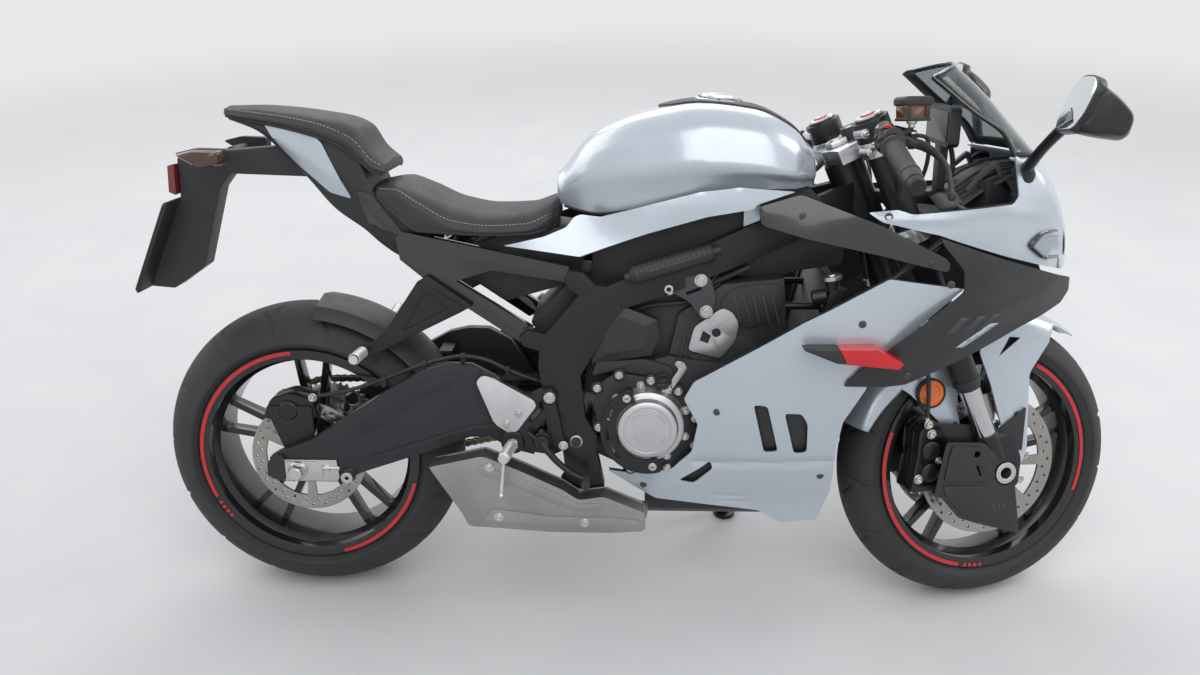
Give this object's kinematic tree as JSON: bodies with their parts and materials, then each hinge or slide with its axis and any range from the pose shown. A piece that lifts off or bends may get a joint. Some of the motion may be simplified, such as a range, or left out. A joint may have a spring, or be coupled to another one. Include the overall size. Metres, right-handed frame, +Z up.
{
  "type": "sport bike",
  "caption": "Sport bike with a half fairing and an open engine, leaning on its side stand. Wheels spin, bars steer, stand folds, fuel cap opens.",
  "frame": {"origin": "bottom centre of the box around the bike as it stands on its side stand, on the ground", "axes": "+X forward, +Y to the left, +Z up; the bike leans to +Y"},
  "size_m": [2.0092, 0.765, 1.1391],
  "materials": {
    "air_guides": "matte",
    "belly_pan": "matte",
    "chain": "oiled",
    "dash": "matte",
    "engine": "satin",
    "engine_covers": "satin",
    "exhaust_header": "brushed",
    "footrests": "satin",
    "fairing_stays": "satin",
    "fork_lowers": "polished",
    "fork_uppers": "satin",
    "frame": "satin",
    "front_axle": "satin",
    "front_brake_hoses": "matte",
    "front_calipers": "satin",
    "front_discs": "brushed",
    "front_fender": "gloss",
    "front_reflectors": "gloss",
    "front_rim": "gloss",
    "front_tyre": "matte",
    "fuel_cap": "satin",
    "fuel_tank": "gloss",
    "grips": "matte",
    "handlebars": "satin",
    "headlamps": "clear",
    "hugger": "matte",
    "lamp_housing": "matte",
    "levers": "satin",
    "mirrors": "gloss",
    "nose_cowl": "gloss",
    "pillion_rests": "satin",
    "pillion_seat": "matte",
    "plate_holder": "matte",
    "radiator": "matte",
    "rear_axle": "satin",
    "rear_brake_hose": "matte",
    "rear_caliper": "satin",
    "rear_disc": "brushed",
    "rear_indicators": "gloss",
    "rear_rim": "gloss",
    "rear_sprocket": "satin",
    "rear_tyre": "matte",
    "rider_seat": "matte",
    "shock": "gloss",
    "side_panels": "gloss",
    "side_stand": "satin",
    "silencer": "brushed",
    "spool_bosses": "satin",
    "subframe": "satin",
    "swingarm": "satin",
    "tail_base": "matte",
    "tail_lamp": "gloss",
    "tail_panels": "gloss",
    "tank_covers": "gloss",
    "upper_panels": "gloss",
    "windscreen": "smoked",
    "wing_panels": "matte",
    "yokes": "satin"
  },
  "bodies": {
    "chassis": {"belly_pan": "belly_pan", "chain": "chain", "dash": "dash", "engine": "engine", "engine_covers": "engine_covers", "exhaust_header": "exhaust_header", "footrests": "footrests", "fairing_stays": "fairing_stays", "frame": "frame", "fuel_tank": "fuel_tank", "headlamps": "headlamps", "hugger": "hugger", "lamp_housing": "lamp_housing", "mirrors": "mirrors", "nose_cowl": "nose_cowl", "pillion_rests": "pillion_rests", "pillion_seat": "pillion_seat", "plate_holder": "plate_holder", "radiator": "radiator", "rear_axle": "rear_axle", "rear_brake_hose": "rear_brake_hose", "rear_caliper": "rear_caliper", "rear_indicators": "rear_indicators", "rider_seat": "rider_seat", "shock": "shock", "side_panels": "side_panels", "silencer": "silencer", "spool_bosses": "spool_bosses", "subframe": "subframe", "swingarm": "swingarm", "tail_base": "tail_base", "tail_lamp": "tail_lamp", "tail_panels": "tail_panels", "tank_covers": "tank_covers", "upper_panels": "upper_panels", "windscreen": "windscreen", "wing_panels": "wing_panels"},
    "steering": {"fork_uppers": "fork_uppers", "fork_lowers": "fork_lowers", "yokes": "yokes", "handlebars": "handlebars", "grips": "grips", "levers": "levers", "front_fender": "front_fender", "front_reflectors": "front_reflectors", "front_calipers": "front_calipers", "air_guides": "air_guides", "front_axle": "front_axle", "front_brake_hoses": "front_brake_hoses"},
    "front_wheel": {"front_tyre": "front_tyre", "front_rim": "front_rim", "front_discs": "front_discs"},
    "rear_wheel": {"rear_tyre": "rear_tyre", "rear_rim": "rear_rim", "rear_disc": "rear_disc", "rear_sprocket": "rear_sprocket"},
    "side_stand": {"side_stand": "side_stand"},
    "fuel_cap": {"fuel_cap": "fuel_cap"}
  },
  "joints": [
    {"name": "steering_turn", "type": "hinge", "parent": "chassis", "child": "steering", "pos_m": [0.43903, -0.03993, 0.81723], "axis": [-0.4072, 0.174, 0.8966], "range_deg": [-42, 12]},
    {"name": "front_wheel_spin", "type": "hinge", "parent": "steering", "child": "front_wheel", "pos_m": [0.7114, -0.13388, 0.28997], "axis": [-0.2369, 0.9279, -0.2877], "continuous": true},
    {"name": "rear_wheel_spin", "type": "hinge", "parent": "chassis", "child": "rear_wheel", "pos_m": [-0.68755, -0.139, 0.31094], "axis": [-0.0006, 0.9816, -0.1908], "continuous": true},
    {"name": "side_stand_fold", "type": "hinge", "parent": "chassis", "child": "side_stand", "pos_m": [0.09205, -0.03377, 0.17912], "axis": [0.0576, 0.9779, 0.2011], "range_deg": [0, 115]},
    {"name": "fuel_cap_hinge", "type": "hinge", "parent": "chassis", "child": "fuel_cap", "pos_m": [0.19914, -0.00122, 1.01708], "axis": [-0.0006, 0.9816, -0.1908], "range_deg": [0, 100]}
  ]
}
